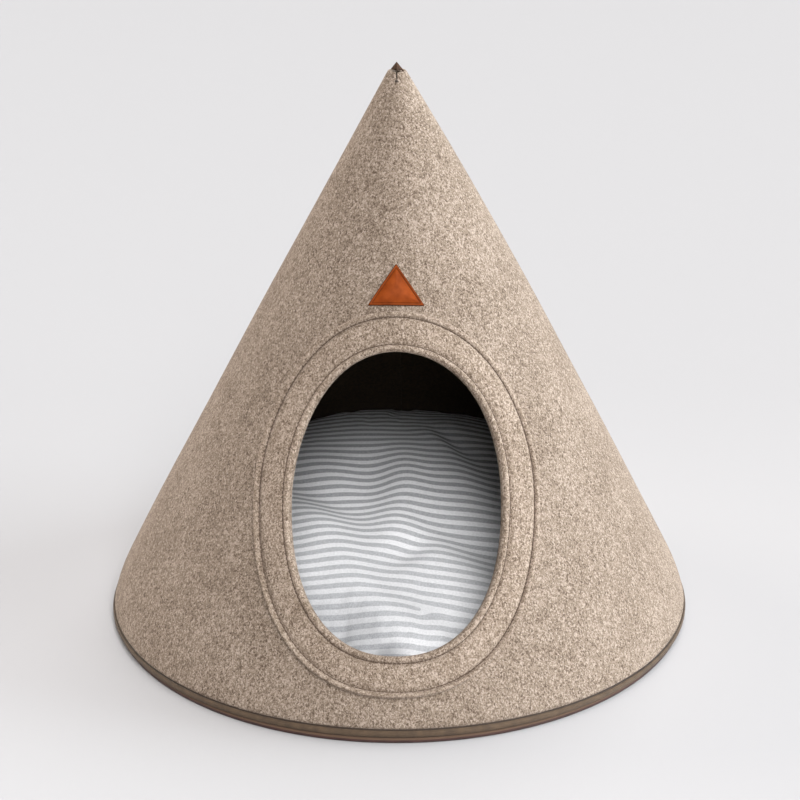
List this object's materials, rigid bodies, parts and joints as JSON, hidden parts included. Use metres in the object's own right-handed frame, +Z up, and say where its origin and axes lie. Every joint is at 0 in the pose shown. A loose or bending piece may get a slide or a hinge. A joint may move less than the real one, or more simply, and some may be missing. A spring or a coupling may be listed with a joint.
{
  "type": "dog teepee",
  "caption": "Felt cone bed for a small dog or cat, with an oval doorway in a stitched facing, a brown bound base and a loose striped cushion inside.",
  "frame": {"origin": "on the floor under the middle of the round base", "axes": "+Z up, the doorway faces -Y, +X to the right of someone who looks in through it"},
  "size_m": [0.6002, 0.6002, 0.566],
  "materials": {
    "base": "brown woven cover",
    "tape": "brown woven binding tape",
    "felt": "thick heathered beige felt",
    "lining": "dark brown brushed lining",
    "facing": "heathered beige felt, stitched down",
    "leather": "smooth tan leather with a dark edge",
    "cap": "dark brown",
    "striped_cotton": "grey and white striped cotton"
  },
  "bodies": {
    "root": {"base_panel": "base", "hem_binding": "tape", "felt_wall": "felt", "wall_lining": "lining", "doorway_facing": "facing", "leather_patch": "leather", "tip_cap": "cap", "cushion": "striped_cotton"}
  },
  "joints": []
}
